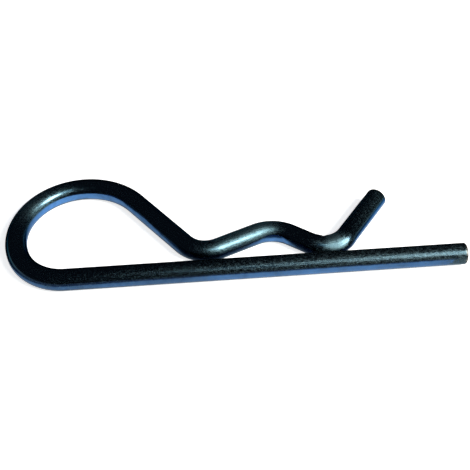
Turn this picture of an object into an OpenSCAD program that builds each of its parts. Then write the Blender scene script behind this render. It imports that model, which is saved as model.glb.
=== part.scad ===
// R-clip for a hitch pin: one length of round spring wire, bent in one plane.
// The straight leg goes through the cross hole of a shaft. The arm runs back along the leg from
// the loop, and its arch springs over the outside of the shaft.
// The clip lies flat: X runs along the leg towards its free end, Y across the clip from the leg
// to the arm, Z through the wire. The origin is under the middle of the clip, on the surface
// that it lies on. Every bend radius is measured to the centreline of the wire. Millimetres.

/* [Wire] */
// Diameter of the wire
wire_d = 5; // [3:0.1:6]
// Chamfer that breaks the edge of both cut ends
end_chamfer = 0.4; // [0.2:0.1:1]

/* [Leg] */
// Straight leg, from its cut end to the start of the loop
leg_length = 90.7; // [80:0.1:120]

/* [Loop] */
// Radius of the heel, the tighter bend that turns the leg up into the loop
heel_radius = 11.6; // [8:0.1:15]
// Angle that the heel turns through
heel_angle = 68; // [45:1:85]
// Radius of the crown, the round of the loop
crown_radius = 15.4; // [13:0.1:20]
// Slope of the shank, the straight run from the crown down to the leg
shank_angle = 52; // [40:1:60]

/* [Arm] */
// Gap between the leg and the inner dip, at the foot of the shank
inner_gap = 0.8; // [0.1:0.1:1.5]
// Radius of the inner dip
inner_radius = 6.9; // [5:0.1:8]
// Slope of the run from the inner dip up to the arch
rise_angle = 22.3; // [18:0.1:28]
// Height of the arch above the leg, inside the wire
arch_height = 5.6; // [5:0.1:8]
// Radius of the arch
arch_radius = 8.4; // [6:0.1:10]
// Slope of the run from the arch down to the outer dip
fall_angle = 35.4; // [30:0.1:40]
// Gap between the leg and the outer dip, where the arm all but touches the leg
outer_gap = 0.12; // [0.05:0.01:0.5]
// Radius of the outer dip
outer_radius = 6.8; // [5:0.1:8]

/* [Tail] */
// Slope of the tail, which flares away from the leg to lead the shaft in
tail_angle = 51.5; // [40:0.5:65]
// Straight length of the tail, with its cut end
tail_length = 15.4; // [8:0.1:20]

/* [Hidden] */
$fn = 96;

// The wire is laid out in metres and brought to millimetres at the end. Each of its pieces is
// placed at the end of the one before, and at this scale their faces meet exactly.
mm = 1 / 1000;

// Sides that a bend turns to, seen along the wire
LEFT = 1;
RIGHT = -1;

// The crown carries the wire on from the heel until it heads down the slope of the shank.
crown_angle = 180 - heel_angle + shank_angle;

// Place of the crown's centre, from the point where the leg meets the heel
crown_centre_x = (crown_radius - heel_radius) * sin(heel_angle);
crown_centre_y = heel_radius + (crown_radius - heel_radius) * cos(heel_angle);

// Lowest points of the dips and top of the arch, from the leg's centreline to the arm's
inner_y = wire_d + inner_gap;
arch_y = wire_d + arch_height;
outer_y = wire_d + outer_gap;

// Each straight run of the arm spans the height that the bends at its two ends leave.
shank_height = crown_centre_y + crown_radius * cos(shank_angle)
    - inner_y - bend_height(inner_radius, shank_angle);
rise_height = arch_y - inner_y - bend_height(inner_radius + arch_radius, rise_angle);
fall_height = arch_y - outer_y - bend_height(arch_radius + outer_radius, fall_angle);
shank_length = shank_height / sin(shank_angle);
rise_length = rise_height / sin(rise_angle);
fall_length = fall_height / sin(fall_angle);

// The whole clip, from the crown's far side to the leg's cut end and from the leg to the crown
overall_length = leg_length - crown_centre_x + crown_radius + wire_d / 2;
overall_width = crown_centre_y + crown_radius + wire_d;

// Height over which a bend of this radius levels out a wire of this slope
function bend_height(radius, slope) = radius * (1 - cos(slope));

// Straight wire, and what follows at its far end
module run(length) {
    rotate([0, 90, 0])
        cylinder(h = length * mm, d = wire_d * mm);
    translate([length * mm, 0, 0])
        children();
}

// Wire bent to one side, and what follows at its far end
module bend(radius, angle, side) {
    centre_y = side * radius * mm;
    translate([0, centre_y, 0])
        rotate([0, 0, -side * 90])
            rotate_extrude(angle = side * angle)
                translate([radius * mm, 0])
                    circle(d = wire_d * mm);
    translate([0, centre_y, 0])
        rotate([0, 0, side * angle])
            translate([0, -centre_y, 0])
                children();
}

// Chamfer of a cut end, from its face back to the full wire, and what follows there
module cut_end() {
    rotate([0, 90, 0])
        cylinder(h = end_chamfer * mm, d1 = (wire_d - 2 * end_chamfer) * mm, d2 = wire_d * mm);
    translate([end_chamfer * mm, 0, 0])
        children();
}

// The wire in the order in which it is bent, from the leg's cut end to the tail's
module wire_clip() {
    color("#26303c")
        translate([overall_length / 2, (wire_d - overall_width) / 2, wire_d / 2])
            rotate([0, 0, 180])
                scale(1 / mm)
                    cut_end()
                    run(leg_length - end_chamfer)
                    bend(heel_radius, heel_angle, RIGHT)
                    bend(crown_radius, crown_angle, RIGHT)
                    run(shank_length)
                    bend(inner_radius, shank_angle + rise_angle, LEFT)
                    run(rise_length)
                    bend(arch_radius, rise_angle + fall_angle, RIGHT)
                    run(fall_length)
                    bend(outer_radius, fall_angle + tail_angle, LEFT)
                    run(tail_length - end_chamfer)
                    translate([end_chamfer * mm, 0, 0])
                        mirror([1, 0, 0])
                            cut_end();
}

wire_clip();
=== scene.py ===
"""Looks of the hitch R-clip: one length of drawn spring wire, blackened, with a blue sheen.

Metres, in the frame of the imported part: X along the leg towards its free end, Y across the clip
from the leg to the arm, Z up through the wire. The clip lies on the floor at z = 0.
"""
import math

import bpy
import numpy as np
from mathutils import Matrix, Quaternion, Vector

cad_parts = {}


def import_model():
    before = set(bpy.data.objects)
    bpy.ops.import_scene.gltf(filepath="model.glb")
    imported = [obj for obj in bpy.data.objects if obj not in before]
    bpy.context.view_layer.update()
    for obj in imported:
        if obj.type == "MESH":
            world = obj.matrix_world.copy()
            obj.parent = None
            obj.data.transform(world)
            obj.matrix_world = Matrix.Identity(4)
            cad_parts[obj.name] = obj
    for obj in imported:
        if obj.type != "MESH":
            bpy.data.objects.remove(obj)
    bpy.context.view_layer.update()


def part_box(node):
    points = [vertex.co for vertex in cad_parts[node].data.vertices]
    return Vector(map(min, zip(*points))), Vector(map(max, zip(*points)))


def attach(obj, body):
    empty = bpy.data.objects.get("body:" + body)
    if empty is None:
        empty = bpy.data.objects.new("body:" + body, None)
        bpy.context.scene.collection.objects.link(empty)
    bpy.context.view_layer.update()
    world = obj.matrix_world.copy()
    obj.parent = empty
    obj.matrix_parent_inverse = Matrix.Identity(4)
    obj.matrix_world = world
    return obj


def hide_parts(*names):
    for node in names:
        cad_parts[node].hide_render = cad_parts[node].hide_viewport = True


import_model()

NODE = "wire_clip"
MM = 0.001

# The wire, as the part has it, with bend radii measured to its centreline
WIRE_D = 5 * MM
WIRE_R = WIRE_D / 2
LEG_LENGTH = 90.7 * MM
HEEL_RADIUS = 11.6 * MM
HEEL_ANGLE = math.radians(68)
CROWN_RADIUS = 15.4 * MM
SHANK_ANGLE = math.radians(52)
INNER_GAP = 0.8 * MM
INNER_RADIUS = 6.9 * MM
RISE_ANGLE = math.radians(22.3)
ARCH_HEIGHT = 5.6 * MM
ARCH_RADIUS = 8.4 * MM
FALL_ANGLE = math.radians(35.4)
OUTER_GAP = 0.12 * MM
OUTER_RADIUS = 6.8 * MM
TAIL_ANGLE = math.radians(51.5)
TAIL_LENGTH = 15.4 * MM
LEFT, RIGHT = 1, -1

# Mesh of the wire, which is a hair thinner and shorter than the part and so stays inside its box
HAIR = 0.015 * MM
SEEN_R = WIRE_R - HAIR
SIDES = 72
RING_SPACING = 0.3 * MM

# Rings over the rounded edge of a cut and across its face. The middle one is tiny, and its radius
# is this share of a step between them.
EDGE_ROUND = 0.35 * MM
EDGE_RINGS = 6
FACE_RINGS = 8
MIDDLE_RING = 0.01

# Places round the wire: 0 is left of the way from leg to tail, and 90 degrees is up
ANGLES = np.linspace(0, 2 * math.pi, SIDES, endpoint=False)

# Where the bending tools pressed the wire: the run or bend, how far along it the middle lies,
# the length pressed, the side in degrees round the wire, half the angle pressed, and the depth.
# A negative depth is a bulge.
PRESSED = [
    dict(piece="outer_dip", share=0.45, length=9 * MM, side=108, spread=100, depth=0.34 * MM),
    dict(piece="outer_dip", share=0.70, length=8.4 * MM, side=170, spread=62, depth=-0.40 * MM),
    dict(piece="outer_dip", share=0.36, length=2.2 * MM, side=35, spread=55, depth=0.16 * MM),
    dict(piece="outer_dip", share=0.66, length=7 * MM, side=146, spread=40, depth=0.15 * MM),
    dict(piece="arch", share=0.60, length=12 * MM, side=170, spread=60, depth=0.16 * MM),
    dict(piece="arch", share=0.86, length=1.8 * MM, side=190, spread=34, depth=0.16 * MM),
    dict(piece="inner_dip", share=0.45, length=9 * MM, side=20, spread=60, depth=0.10 * MM),
]

# Shear cuts: how far the face leans from top to bottom, the way behind it over which that lean
# fades out, how far from the cut the wire's own rings start, and how rough the torn part is
CUT_DEPTH = 0.22 * MM
CUT_FADE = 4 * CUT_DEPTH
CUT_CLEAR = EDGE_ROUND + 2 * CUT_DEPTH
CUT_ROUGH = 0.03 * MM

# The torn part starts at this share of the radius above the middle. Its waves run across the face
# and up it, and the slants set them askew.
TORN_TOP = 0.2
WAVES_ACROSS, SLANT_ACROSS = 5.3, 2.1
WAVES_UP, SLANT_UP = 9.7, 3.1

# How far from a cut the steel is bare, and how far from the leg's end the film is rubbed off
BARE_REACH = 0.8 * MM
RUBBED_REACH = 8 * MM

# Camera, with lens and sensor in the camera's own millimetres
AIM = Vector((0.57, -4.16, 2.59)) * MM
CAMERA_AZIMUTH = math.radians(-94.9)
CAMERA_ELEVATION = math.radians(47.76)
CAMERA_DISTANCE = 185 * MM
CAMERA_NEAREST = 10 * MM
LENS = 60.8
SENSOR = 36

# Lamps: azimuth, elevation and roll in degrees, distance and size in metres, radiance where 1 is
# white
KEY = dict(name="key_softbox", azimuth=-32, elevation=44, roll=-30, distance=0.7,
           size=(0.40, 0.27), radiance=23, colour=(1.07, 1.0, 0.93))
SPILL = dict(name="spill_round_the_softbox", azimuth=-36, elevation=48, roll=-30, distance=0.75,
             size=(0.80, 0.40), radiance=1.8, colour=(0.66, 1.0, 1.22))

# World: dark and blue, with a white sweep from the horizon up to this height of a unit vector
WHITE = (1, 1, 1, 1)
WORLD_RADIANCE = 0.030
WORLD_COLOUR = (0.85, 0.95, 1.35, 1)
SWEEP_TOP = 0.06

# Floor: its glow as the camera sees it, within the first distance of the origin and from the
# second outwards, and its glow as metal mirrors it
FLOOR_SIZE = 1.0
FLOOR_COLOUR = (0.80, 0.80, 0.80, 1)
GLOW_NEAR, GLOW_FAR = 0.80, 1.0
GLOW_FROM, GLOW_TO = 0.12, 0.35
GLOW_MIRRORED = 0.20

# Tones, each at even steps from the start to the end of every run and bend:
# scuffed: bright grains in the worn grey, below 0 fewer than its noise alone gives
# pitted: pits in the worn grey, which make it darker and its grains duller and rougher
# blue: how blue the film on the wire's sides is, partly the film's own tone and partly a
# painted reflection, set to how bright the mirrored floor shows there
# dark: how dark that film is all over, painted shade that is deepest where the arm runs
# close to the leg and mirrors shaded floor
# brim: where the blue film gives way to nearly black film, a painted shade line along the
# top edge of the floor's reflection
# worn: where the worn grey starts; the grey is wear and also a painted highlight colour,
# set low where the lamp's highlight falls so that it shows grey rather than blue
# The last two are heights above and below the middle of the wire's side, as shares of its radius.
TONES = dict(
    scuffed=dict(
        leg=(0.25, 0.3, 0.15, 0.0, -0.2), heel=(-0.2, -0.2),
        crown=(-0.2, -0.1, 0.8, 0.4, -0.2, -0.2, -0.2), shank=(-0.2, -0.2),
        inner_dip=(-0.2, -0.1, 0.2, 0.8), rise=(0.8, 1.0),
        arch=(1.0, 1.0, 0.7, 0.0, -0.2), fall=(-0.2, -0.2),
        outer_dip=(-0.2, -0.15, 0.2, 1.0, 1.0, 0.2, -0.2), tail=(-0.2, 0.1, 0.15, 0.2)),
    pitted=dict(
        leg=(1.0, 1.0, 0.9, 0.6, 0.2), heel=(0.2, 0.0),
        crown=(0.0, 0.0), shank=(0.0, 0.0),
        inner_dip=(0.0, 0.0), rise=(0.0, 0.1),
        arch=(0.1, 0.2), fall=(0.2, 0.3, 0.5),
        outer_dip=(0.5, 0.5, 0.5, 0.4, 0.5), tail=(0.5, 0.4, 0.3)),
    blue=dict(
        leg=(0.15, 0.3, 0.3, 0.13, 0.22), heel=(0.22, 0.25),
        crown=(0.25, 0.1, 0.6, 1.0, 0.5, 0.3, 0.2), shank=(0.2, 0.2),
        inner_dip=(0.2, 0.2), rise=(0.2, 0.2, 0.6),
        arch=(0.6, 0.65), fall=(0.65, 0.2),
        outer_dip=(0.2, 0.2), tail=(0.2, 0.35)),
    # dark: painted shade, deepest where the arm runs close to the leg
    dark=dict(
        leg=(0.0, 0.0, 0.0, 0.08, 0.3), heel=(0.3, 0.25),
        crown=(0.25, 0.0, 0.0, 0.0, 0.05, 0.1, 0.1), shank=(0.1, 0.1, 0.45),
        inner_dip=(0.45, 1.2, 1.2, 0.8), rise=(0.8, 0.85, 0.4),
        arch=(0.4, 0.1, 0.45), fall=(0.45, 0.85, 1.0),
        outer_dip=(1.0, 1.0, 0.8, 0.3), tail=(0.3, -0.15, -0.2)),
    brim=dict(
        leg=(0.36, 0.32, 0.32, 0.28, 0.22), heel=(0.22, 0.24),
        crown=(0.24, 0.34, 0.46, 0.42, 0.30, 0.42, 0.28), shank=(0.28, 0.48, 0.32, 0.25),
        inner_dip=(0.25, 0.25), rise=(0.25, 0.20, 0.25),
        arch=(0.25, 0.46, 0.46, 0.30), fall=(0.30, 0.25),
        outer_dip=(0.25, 0.25, 0.32), tail=(0.32, 0.36)),
    worn=dict(
        leg=(0.34, 0.36, 0.38), heel=(0.38, 0.38),
        crown=(0.38, 0.34, 0.20, 0.20, 0.36, 0.38, 0.38), shank=(0.38, 0.38),
        inner_dip=(0.38, 0.36, 0.20), rise=(0.18, 0.18),
        arch=(0.18, 0.38, 0.40), fall=(0.38, 0.34),
        outer_dip=(0.34, 0.18, 0.16, 0.18, 0.36), tail=(0.36, 0.38)),
)

# Colours of the film, whose nearly black is painted shade, of the worn grey with its grains,
# and of the cuts
FILM_BLUE = (0.130, 0.355, 0.80, 1)
FILM_GREY = (0.040, 0.088, 0.18, 1)
FILM_PAINTED_SHADE = (0.005, 0.014, 0.042, 1)
# The worn grey is wear, and also a painted highlight colour where the lamp's highlight falls
WORN_AND_HIGHLIGHT_GREY = (0.050, 0.086, 0.108, 1)
WORN_GRAIN = (0.120, 0.215, 0.245, 1)
PITTED_GREY = (0.030, 0.052, 0.064, 1)
PITTED_GRAIN = (0.090, 0.142, 0.158, 1)
BARE_STEEL = (0.20, 0.195, 0.175, 1)
TORN_STEEL = (0.095, 0.094, 0.087, 1)
TORN_PITS = (0.030, 0.033, 0.034, 1)

# Tint of the metal's mirrored edge, which goes from the lower one to the upper one between these
# heights: a painted reflection of the pale floor below and painted shade above
EDGE_PAINTED_REFLECTION_TINT = (0.8, 0.9, 1.0, 1)
EDGE_PAINTED_SHADE_TINT = (0.01, 0.015, 0.02, 1)
EDGE_TINT_FROM, EDGE_TINT_TO = 0.1, 0.4

# Roughness of the film and worn grey, of grains, of grains where the wire is pitted, and of the
# smooth and torn parts of a cut
SMOOTH_ROUGH = 0.12
GRAIN_ROUGH = 0.41
PITTED_ROUGH = 0.60
BARE_ROUGH = 0.35
TORN_ROUGH = 0.60

# Noise, with its scale to the metre and its stretch along the wire or, for the shear's lines, up
# the face: fine and coarse grains, drawing lines, patches of blue, mottle of the dark film
NOISE_DETAIL = 1.0
FINE_SCALE = 16000.0
COARSE_SCALE, COARSE_STRETCH = 3500.0, 0.45
LINE_SCALE, LINE_STRETCH = 9000.0, 0.03
SHEAR_SCALE, SHEAR_STRETCH = 6000.0, 0.06
BLUE_SCALE, BLUE_SWAY = 150.0, 0.5
DARK_SCALE, DARK_SWAY = 700.0, 0.7

# Grains come up as the noise rises from one of these values to the other. It is the fine noise,
# with the coarse noise at its own weight and at more of it where the wire is pitted, and with the
# drawing lines. Scuffing lifts it.
GRAIN_FROM, GRAIN_TO = 0.57, 0.74
COARSE_WEIGHT, PITTED_WEIGHT = 0.18, 0.26
LINE_WEIGHT = 0.06
SCUFF_SHIFT = 0.24

# Borders, each with where it starts and ends, and how far noise sways it
WORN_FROM, WORN_TO = 0.0, 0.25
# The brim's border, where the film turns nearly black, is a painted shade edge
BRIM_FROM, BRIM_TO = -0.08, 0.12
RUBBED_FROM, RUBBED_TO, RUBBED_SWAY = 0.35, 0.65, 0.8
BARE_FROM, BARE_TO, BARE_SWAY = 0.3, 0.7, 1.2
TORN_FROM, TORN_TO, TORN_SWAY = 0.35, -0.05, 1.6
PITS_FROM, PITS_TO = 0.6, 0.42

# Bump: its strength, its share where the wire is pitted, what the coarse noise and the drawing
# lines add to the fine noise, and its height
BUMP, PITTED_BUMP = 0.35, 0.7
COARSE_BUMP, LINE_BUMP = 1.5, 0.3
BUMP_HEIGHT = 0.1 * MM


def levelling_height(radius, slope):
    """Height over which a bend of this radius levels out a wire of this slope."""
    return radius * (1 - math.cos(slope))


def run(length):
    """A straight piece of the route: its length and its curvature."""
    return length, 0.0


def bend(radius, angle, side):
    """A round piece of the route: its length and its curvature."""
    return radius * angle, side / radius


def wire_route():
    """The runs and bends from the leg's cut end to the tail's."""
    crown_angle = math.pi - HEEL_ANGLE + SHANK_ANGLE
    crown_centre_y = HEEL_RADIUS + (CROWN_RADIUS - HEEL_RADIUS) * math.cos(HEEL_ANGLE)
    inner_y = WIRE_D + INNER_GAP
    arch_y = WIRE_D + ARCH_HEIGHT
    outer_y = WIRE_D + OUTER_GAP
    shank_height = (crown_centre_y + CROWN_RADIUS * math.cos(SHANK_ANGLE)
                    - inner_y - levelling_height(INNER_RADIUS, SHANK_ANGLE))
    rise_height = arch_y - inner_y - levelling_height(INNER_RADIUS + ARCH_RADIUS, RISE_ANGLE)
    fall_height = arch_y - outer_y - levelling_height(ARCH_RADIUS + OUTER_RADIUS, FALL_ANGLE)
    return dict(
        leg=run(LEG_LENGTH - HAIR),
        heel=bend(HEEL_RADIUS, HEEL_ANGLE, RIGHT),
        crown=bend(CROWN_RADIUS, crown_angle, RIGHT),
        shank=run(shank_height / math.sin(SHANK_ANGLE)),
        inner_dip=bend(INNER_RADIUS, SHANK_ANGLE + RISE_ANGLE, LEFT),
        rise=run(rise_height / math.sin(RISE_ANGLE)),
        arch=bend(ARCH_RADIUS, RISE_ANGLE + FALL_ANGLE, RIGHT),
        fall=run(fall_height / math.sin(FALL_ANGLE)),
        outer_dip=bend(OUTER_RADIUS, FALL_ANGLE + TAIL_ANGLE, LEFT),
        tail=run(TAIL_LENGTH - HAIR),
    )


def piece_starts():
    """How far along the wire each run and bend starts, and its length."""
    covered, starts = 0.0, {}
    for piece, (length, _) in wire_route().items():
        starts[piece] = covered, length
        covered += length
    return starts


def along(point, heading, curvature, way):
    """The point that lies this way further on a bend, or on a run where the curvature is 0."""
    if curvature == 0:
        return point + way * np.array((math.cos(heading), math.sin(heading)))
    turned = heading + curvature * way
    return point + np.array((math.sin(turned) - math.sin(heading),
                             math.cos(heading) - math.cos(turned))) / curvature


def walk(start, heading):
    """Stations along the route: the way covered, the point and the heading at each."""
    covered, stations = 0.0, []
    point = np.array(start, float)
    for length, curvature in wire_route().values():
        steps = max(1, math.ceil(length / RING_SPACING))
        for step in range(steps):
            way = length * step / steps
            there = along(point, heading, curvature, way)
            stations.append((covered + way, there, heading + curvature * way))
        point = along(point, heading, curvature, length)
        heading += curvature * length
        covered += length
    stations.append((covered, point, heading))
    return stations


def bell(distance, reach):
    """1 in the middle, falling smoothly to 0 at this reach on either side."""
    near = np.clip(np.abs(distance) / reach, 0, 1)
    return np.cos(near * math.pi / 2) ** 2


def pressed_depth(way):
    """How deep the surface lies under the round of the wire, where a bending tool pressed it."""
    depth, starts = np.zeros(SIDES), piece_starts()
    for press in PRESSED:
        start, length = starts[press["piece"]]
        along_wire = bell(way - start - press["share"] * length, press["length"] / 2)
        turned = (ANGLES - math.radians(press["side"]) + math.pi) % (2 * math.pi) - math.pi
        depth = depth + press["depth"] * along_wire * bell(turned, math.radians(press["spread"]))
    return depth


def cut_depth(radius):
    """How far a shear cut's face lies under its highest point: it leans and is torn below."""
    height = radius * np.sin(ANGLES) / SEEN_R
    across = radius * np.cos(ANGLES) / MM
    lean = CUT_DEPTH * (1 - height) / 2
    tear = CUT_ROUGH * np.clip(TORN_TOP - height, 0, 1)
    wave = (np.sin(across * WAVES_ACROSS + SLANT_ACROSS * height)
            * np.cos(height * WAVES_UP + radius / MM * SLANT_UP))
    return lean + tear * (1 + wave)


def cut_rings():
    """The rings from the middle of a cut face over its rounded edge: radius and way inward."""
    face_radius = SEEN_R - EDGE_ROUND
    rings = [(face_radius * max(i, MIDDLE_RING) / FACE_RINGS, 0.0) for i in range(FACE_RINGS + 1)]
    for i in range(1, EDGE_RINGS):
        turn = math.pi / 2 * i / EDGE_RINGS
        rings.append((SEEN_R - EDGE_ROUND * (1 - math.sin(turn)), EDGE_ROUND * (1 - math.cos(turn))))
    return rings


def ring(station, total, radius, inward=0.0):
    """A ring of points, where they lie on the wire before it is bent, and how bare they are.

    The radius is that before pressing, and a ring of a cut lies this way inward from its plane.
    """
    way, point, heading = station
    behind_cut = inward + min(way, total - way)
    toward = 1 if way < total / 2 else -1
    ahead = np.array((math.cos(heading), math.sin(heading), 0))
    side = np.array((-math.sin(heading), math.cos(heading), 0))
    radii = radius - pressed_depth(way)
    left, up = radii * np.cos(ANGLES), radii * np.sin(ANGLES)
    forward = toward * (inward + max(0.0, 1 - behind_cut / CUT_FADE) * cut_depth(radius))
    centre = np.array((point[0], point[1], SEEN_R))
    points = centre + np.outer(forward, ahead) + (np.outer(left, side) + np.outer(up, (0, 0, 1)))
    bare = np.full(SIDES, max(0.0, 1 - behind_cut / BARE_REACH))
    return points, np.column_stack((way + forward, left, up)), bare


def tube_faces(count):
    """The faces between this many rings, and one that closes each end."""
    faces = []
    for i in range(count - 1):
        here, there = i * SIDES, (i + 1) * SIDES
        for k in range(SIDES):
            after = (k + 1) % SIDES
            faces.append((here + k, here + after, there + after, there + k))
    faces.append(tuple(range(SIDES - 1, -1, -1)))
    faces.append(tuple((count - 1) * SIDES + k for k in range(SIDES)))
    return faces


def tone_along(way, tone):
    """The tone's value at each of these places along the wire."""
    places, values = [], []
    for piece, (start, length) in piece_starts().items():
        places += np.linspace(start, start + length, len(tone[piece])).tolist()
        values += tone[piece]
    return np.interp(way, places, values)


def add_layer(mesh, name, kind, field, values):
    """Gives each point of the mesh a value, or a place, that the material reads by this name."""
    layer = mesh.attributes.new(name, kind, "POINT")
    layer.data.foreach_set(field, values.astype(np.float32).ravel())


def wire_mesh():
    """The wire as rings of points, with the tones that its material reads."""
    low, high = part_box(NODE)
    stations = walk((high.x - HAIR, low.y + WIRE_R), math.pi)
    total = stations[-1][0]
    rings = [ring(stations[0], total, *place) for place in cut_rings()]
    rings += [ring(station, total, SEEN_R) for station in stations
              if CUT_CLEAR <= station[0] <= total - CUT_CLEAR]
    rings += [ring(stations[-1], total, *place) for place in reversed(cut_rings())]
    points, straight, bare = (np.concatenate(values) for values in zip(*rings))

    mesh = bpy.data.meshes.new("drawn_wire")
    mesh.from_pydata(points.tolist(), [], tube_faces(len(rings)))
    mesh.validate()
    mesh.shade_smooth()
    way = straight[:, 0]
    add_layer(mesh, "straight_wire", "FLOAT_VECTOR", "vector", straight)
    add_layer(mesh, "bare", "FLOAT", "value", bare)
    add_layer(mesh, "rubbed", "FLOAT", "value", np.clip(1 - way / RUBBED_REACH, 0, 1))
    for name, tone in TONES.items():
        add_layer(mesh, name, "FLOAT", "value", tone_along(way, tone))
    return mesh


class ShaderTree:
    """Shader nodes of a material or world. A value is a number, a colour or a node's output."""

    def __init__(self, owner):
        owner.use_nodes = True
        self.tree = owner.node_tree
        self.tree.nodes.clear()

    def node(self, kind, inputs=None, **settings):
        """A new node, whose inputs go by name or number."""
        made = self.tree.nodes.new(kind)
        for name, value in settings.items():
            setattr(made, name, value)
        for name, value in (inputs or {}).items():
            if isinstance(value, bpy.types.NodeSocket):
                self.tree.links.new(value, made.inputs[name])
            else:
                made.inputs[name].default_value = value
        return made

    def maths(self, operation, *values):
        """A number worked out from these values."""
        return self.node("ShaderNodeMath", dict(enumerate(values)), operation=operation).outputs[0]

    def z_of(self, place):
        """How high a place or direction lies."""
        return self.node("ShaderNodeSeparateXYZ", {0: place}).outputs["Z"]

    def layer(self, name, output="Fac"):
        """What add_layer gave the mesh under this name."""
        return self.node("ShaderNodeAttribute", attribute_name=name).outputs[output]

    def noise(self, place, scale, *stretch):
        """Noise from 0 to 1, with a factor below 1 stretching it in X, Y or Z."""
        if stretch:
            stretched = self.node("ShaderNodeVectorMath", {0: place, 1: stretch}, operation="MULTIPLY")
            place = stretched.outputs["Vector"]
        inputs = {"Vector": place, "Scale": scale, "Detail": NOISE_DETAIL}
        return self.node("ShaderNodeTexNoise", inputs).outputs["Fac"]

    def centred(self, noise, amount):
        """Noise spread over this much, half of it above 0 and half below."""
        return self.maths("MULTIPLY_ADD", noise, amount, -amount / 2)

    def swayed(self, value, noise, amount):
        """The value with noise of this size added."""
        return self.maths("ADD", value, self.centred(noise, amount))

    def ramp(self, value, start, end):
        """A share that goes smoothly from 0 to 1 as the value goes from start to end."""
        inputs = {"Value": value, "From Min": start, "From Max": end}
        made = self.node("ShaderNodeMapRange", inputs, interpolation_type="SMOOTHSTEP")
        return made.outputs["Result"]

    def blend(self, value, first, second, start=0.0, end=1.0):
        """A number that goes evenly from first to second as the value goes from start to end."""
        inputs = {"Value": value, "From Min": start, "From Max": end, "To Min": first, "To Max": second}
        return self.node("ShaderNodeMapRange", inputs).outputs["Result"]

    def mix(self, share, first, second):
        """A colour that goes from first to second as the share goes from 0 to 1."""
        inputs = {"Factor": share, 6: first, 7: second}
        return self.node("ShaderNodeMix", inputs, data_type="RGBA").outputs[2]

    def ray_kinds(self):
        """Whether a ray comes straight from the camera, and whether by way of metal or glass."""
        path = self.node("ShaderNodeLightPath").outputs
        mirrored = self.maths("MAXIMUM", path["Is Glossy Ray"], path["Is Transmission Ray"])
        return path["Is Camera Ray"], mirrored


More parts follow.
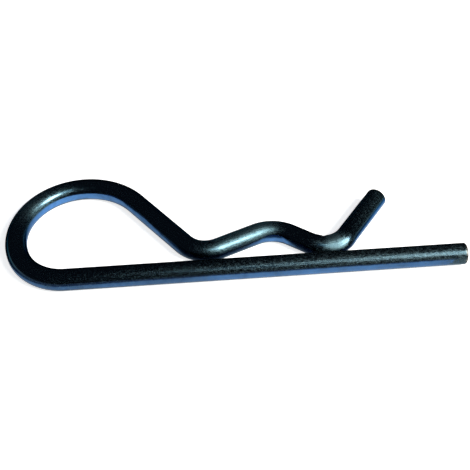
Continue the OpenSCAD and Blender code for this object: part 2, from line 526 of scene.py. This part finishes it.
class SteelTree(ShaderTree):
    """Blackened steel: film on the sides with painted reflection and shade, worn grey above and below,
    bare at the cuts.
    """

    def __init__(self, owner):
        super().__init__(owner)
        self.place = self.layer("straight_wire", "Vector")
        self.height = self.maths("DIVIDE", self.z_of(self.place), WIRE_R)
        self.flank = self.maths("ABSOLUTE", self.height)
        self.fine = self.noise(self.place, FINE_SCALE)
        self.coarse = self.noise(self.place, COARSE_SCALE, COARSE_STRETCH, 1, 1)
        self.lines = self.noise(self.place, LINE_SCALE, LINE_STRETCH, 1, 1)
        self.pitted = self.layer("pitted")
        self.worn = self.wear_and_highlight_grey_share()
        self.grains = self.grain_share()
        bare = self.swayed(self.layer("bare"), self.coarse, BARE_SWAY)
        self.bare = self.ramp(bare, BARE_FROM, BARE_TO)
        torn = self.swayed(self.height, self.coarse, TORN_SWAY)
        self.torn = self.ramp(torn, TORN_FROM, TORN_TO)

    def wear_and_highlight_grey_share(self):
        """Worn grey above and below the sides, also a painted highlight colour, and all round where the
        leg's end is rubbed.
        """
        rubbed = self.swayed(self.layer("rubbed"), self.coarse, RUBBED_SWAY)
        above = self.maths("SUBTRACT", self.flank, self.layer("worn"))
        return self.maths("MAXIMUM", self.ramp(above, WORN_FROM, WORN_TO),
                          self.ramp(rubbed, RUBBED_FROM, RUBBED_TO))

    def grain_share(self):
        """Bright grains, more of them where the worn grey is scuffed."""
        weight = self.maths("MULTIPLY_ADD", self.pitted, PITTED_WEIGHT, COARSE_WEIGHT)
        field = self.maths("MULTIPLY_ADD", self.centred(self.coarse, 1.0), weight, self.fine)
        field = self.swayed(field, self.lines, LINE_WEIGHT)
        scuffed = self.maths("MULTIPLY", self.layer("scuffed"), self.worn)
        field = self.maths("MULTIPLY_ADD", scuffed, SCUFF_SHIFT, field)
        return self.ramp(field, GRAIN_FROM, GRAIN_TO)

    def film_with_painted_light_colour(self):
        """Grey to blue low on the sides, a painted reflection, and nearly black painted shade from the
        brim.
        """
        blue = self.swayed(self.layer("blue"), self.noise(self.place, BLUE_SCALE), BLUE_SWAY)
        dark = self.swayed(self.layer("dark"), self.noise(self.place, DARK_SCALE), DARK_SWAY)
        above = self.maths("SUBTRACT", self.flank, self.layer("brim"))
        dark = self.maths("ADD", dark, self.ramp(above, BRIM_FROM, BRIM_TO))
        return self.mix(dark, self.mix(blue, FILM_GREY, FILM_BLUE), FILM_PAINTED_SHADE)

    def cut_colour(self):
        """Steel with the shear's lines above, and torn steel with dark pits below."""
        shear_lines = self.noise(self.place, SHEAR_SCALE, 1, 1, SHEAR_STRETCH)
        sheared = self.mix(shear_lines, BARE_STEEL, TORN_STEEL)
        pits = self.ramp(self.coarse, PITS_FROM, PITS_TO)
        return self.mix(self.torn, sheared, self.mix(pits, TORN_STEEL, TORN_PITS))

    def colour(self):
        """Film and worn grey, which carry painted reflection, shade and highlight colour, with grains
        over both, and the cuts.
        """
        worn = self.mix(self.pitted, WORN_AND_HIGHLIGHT_GREY, PITTED_GREY)
        grain = self.mix(self.pitted, WORN_GRAIN, PITTED_GRAIN)
        coated = self.mix(self.grains, self.mix(self.worn, self.film_with_painted_light_colour(), worn), grain)
        return self.mix(self.bare, coated, self.cut_colour())

    def roughness(self):
        """Smooth film, rougher grains and the roughest pits, with the drawing lines."""
        grain = self.blend(self.pitted, GRAIN_ROUGH, PITTED_ROUGH)
        coated = self.swayed(self.blend(self.grains, SMOOTH_ROUGH, grain), self.lines, LINE_WEIGHT)
        return self.blend(self.bare, coated, self.blend(self.torn, BARE_ROUGH, TORN_ROUGH))

    def painted_edge_tint(self):
        """Painted shade on the upper mirrored edges, and a painted reflection of the pale floor below.
        """
        share = self.ramp(self.height, EDGE_TINT_FROM, EDGE_TINT_TO)
        return self.mix(share, EDGE_PAINTED_REFLECTION_TINT, EDGE_PAINTED_SHADE_TINT)

    def bump(self):
        """Grains, pits and bare steel stand out, and the film between them is smooth."""
        height = self.maths("MULTIPLY_ADD", self.coarse, COARSE_BUMP, self.fine)
        height = self.swayed(height, self.lines, LINE_BUMP)
        share = self.maths("MAXIMUM", self.maths("MAXIMUM", self.grains, self.bare),
                           self.maths("MULTIPLY", self.pitted, PITTED_BUMP))
        strength = self.maths("MULTIPLY", share, BUMP)
        inputs = {"Height": height, "Strength": strength, "Distance": BUMP_HEIGHT}
        return self.node("ShaderNodeBump", inputs).outputs["Normal"]


def blackened_steel():
    """The clip's one material, which reads the layers of the wire's mesh."""
    material = bpy.data.materials.new("blackened_spring_steel")
    tree = SteelTree(material)
    shader = tree.node("ShaderNodeBsdfPrincipled", {
        "Base Color": tree.colour(), "Metallic": 1.0, "Roughness": tree.roughness(),
        "Specular Tint": tree.painted_edge_tint(), "Normal": tree.bump()})
    tree.node("ShaderNodeOutputMaterial", {"Surface": shader.outputs["BSDF"]})
    return material


def floor_material():
    """Pale and matt, with a glow to camera and mirrored rays that makes it show white."""
    material = bpy.data.materials.new("pale_floor")
    tree = ShaderTree(material)
    seen, mirrored = tree.ray_kinds()
    place = tree.node("ShaderNodeTexCoord").outputs["Object"]
    distance = tree.node("ShaderNodeVectorMath", {0: place}, operation="LENGTH").outputs["Value"]
    glow_seen = tree.blend(distance, GLOW_NEAR, GLOW_FAR, GLOW_FROM, GLOW_TO)
    glow_mirrored = tree.maths("MULTIPLY", mirrored, GLOW_MIRRORED)
    glow = tree.maths("MULTIPLY_ADD", seen, glow_seen, glow_mirrored)
    shader = tree.node("ShaderNodeBsdfPrincipled", {
        "Base Color": FLOOR_COLOUR, "Roughness": 1.0, "Specular IOR Level": 0.0,
        "Emission Color": WHITE, "Emission Strength": glow})
    tree.node("ShaderNodeOutputMaterial", {"Surface": shader.outputs["BSDF"]})
    return material


def add(name, data):
    """A new object in the scene."""
    made = bpy.data.objects.new(name, data)
    bpy.context.scene.collection.objects.link(made)
    return made


def direction(azimuth, elevation):
    """Unit vector that points this way from the clip."""
    return Vector((math.cos(elevation) * math.cos(azimuth), math.cos(elevation) * math.sin(azimuth),
                   math.sin(elevation)))


def look_at(thing, place, target, roll=0.0):
    """Puts a lamp or camera at the place and turns it to the target."""
    thing.location = place
    turned = (target - place).to_track_quat("-Z", "Y") @ Quaternion((0, 0, 1), roll)
    thing.rotation_euler = turned.to_euler()


def softbox(name, azimuth, elevation, roll, distance, size, radiance, colour):
    """A round or oval lamp that is turned to the clip and shows this radiance."""
    lamp = bpy.data.lights.new(name, "AREA")
    lamp.color = colour
    lamp.shape = "ELLIPSE"
    lamp.size, lamp.size_y = size
    lamp.energy = radiance * math.pi * (math.pi / 4 * size[0] * size[1])
    way = direction(math.radians(azimuth), math.radians(elevation))
    look_at(add(name, lamp), AIM + way * distance, AIM, math.radians(roll))


def camera():
    """The camera at the photograph's viewing angle."""
    data = bpy.data.cameras.new("camera")
    data.sensor_width = SENSOR
    data.lens = LENS
    data.clip_start = CAMERA_NEAREST
    made = add("camera", data)
    look_at(made, AIM + direction(CAMERA_AZIMUTH, CAMERA_ELEVATION) * CAMERA_DISTANCE, AIM)
    bpy.context.scene.camera = made


def floor():
    """A square floor round the origin."""
    half = FLOOR_SIZE / 2
    corners = [(-half, -half, 0), (half, -half, 0), (half, half, 0), (-half, half, 0)]
    mesh = bpy.data.meshes.new("floor")
    mesh.from_pydata(corners, [], [(0, 1, 2, 3)])
    mesh.materials.append(floor_material())
    add("floor", mesh)


def world():
    """White to the camera, and dark to the clip but for a white sweep where metal mirrors it."""
    made = bpy.data.worlds.new("studio")
    tree = ShaderTree(made)
    seen, mirrored = tree.ray_kinds()
    way = tree.node("ShaderNodeTexCoord").outputs["Generated"]
    sweep = tree.ramp(tree.z_of(way), SWEEP_TOP, 0.0)
    white = tree.maths("MAXIMUM", seen, tree.maths("MULTIPLY", mirrored, sweep))
    surround = tree.node("ShaderNodeBackground", {"Color": WORLD_COLOUR, "Strength": WORLD_RADIANCE})
    backdrop = tree.node("ShaderNodeBackground", {"Color": WHITE, "Strength": 1.0})
    shown = tree.node("ShaderNodeMixShader", {
        0: white, 1: surround.outputs["Background"], 2: backdrop.outputs["Background"]})
    tree.node("ShaderNodeOutputWorld", {"Surface": shown.outputs["Shader"]})
    bpy.context.scene.world = made


wire = add("drawn_wire", wire_mesh())
wire.data.materials.append(blackened_steel())
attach(wire, "root")
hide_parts(NODE)

floor()
world()
softbox(**KEY)
softbox(**SPILL)
camera()
bpy.context.scene.view_settings.view_transform = "Standard"
